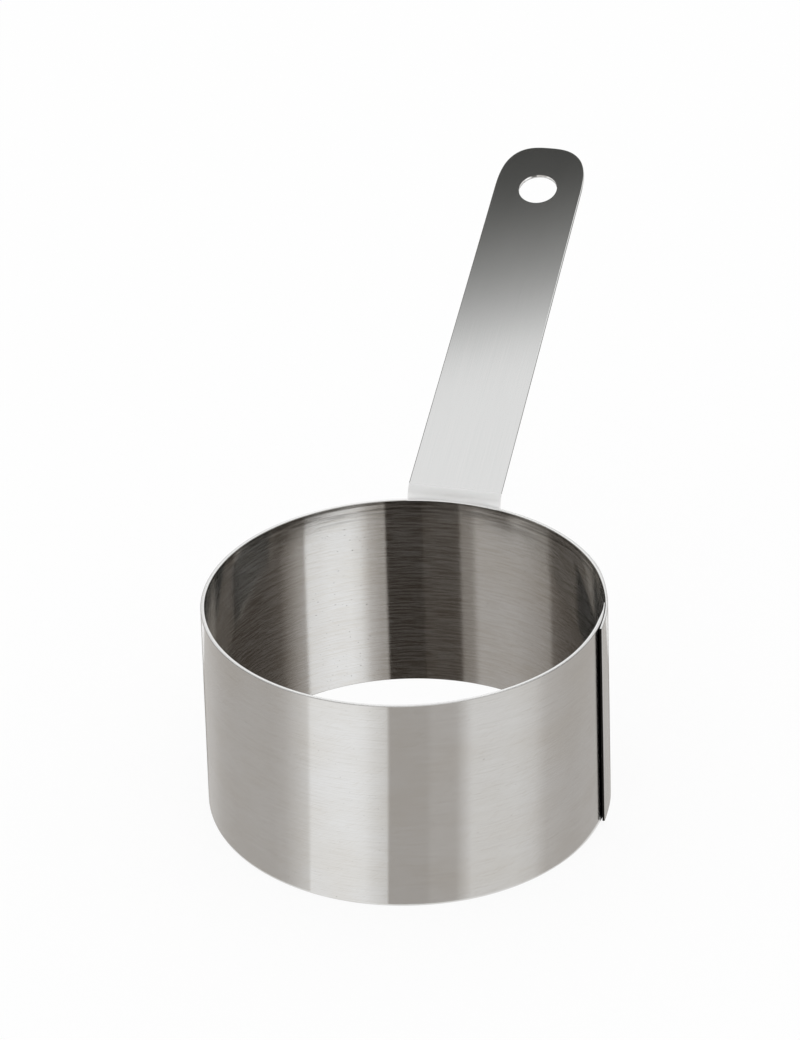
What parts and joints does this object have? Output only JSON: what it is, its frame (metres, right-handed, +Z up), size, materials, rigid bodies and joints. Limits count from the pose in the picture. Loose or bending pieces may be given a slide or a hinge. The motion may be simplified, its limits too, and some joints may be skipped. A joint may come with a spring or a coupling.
{
  "type": "pastry ring",
  "caption": "Round bottomless band of rolled sheet steel with a lapped seam, and a flat strip handle that leans outwards and ends in a hang hole.",
  "frame": {"origin": "on the table, at the middle of the footprint of band and handle together; the ring's axis crosses the table 0.3 mm to the -X side and 45.8 mm to the -Y side of it", "axes": "+Z up along the ring's axis from foot to rim, +Y from the ring out along the handle, +X to the side where the band's lap joint is"},
  "size_m": [0.0832, 0.174, 0.0884],
  "materials": {
    "band_steel": "stainless sheet with fine brush lines that run round the band",
    "handle_steel": "smooth satin stainless strip"
  },
  "bodies": {
    "root": {"ring_band": "band_steel", "handle": "handle_steel"}
  },
  "joints": []
}
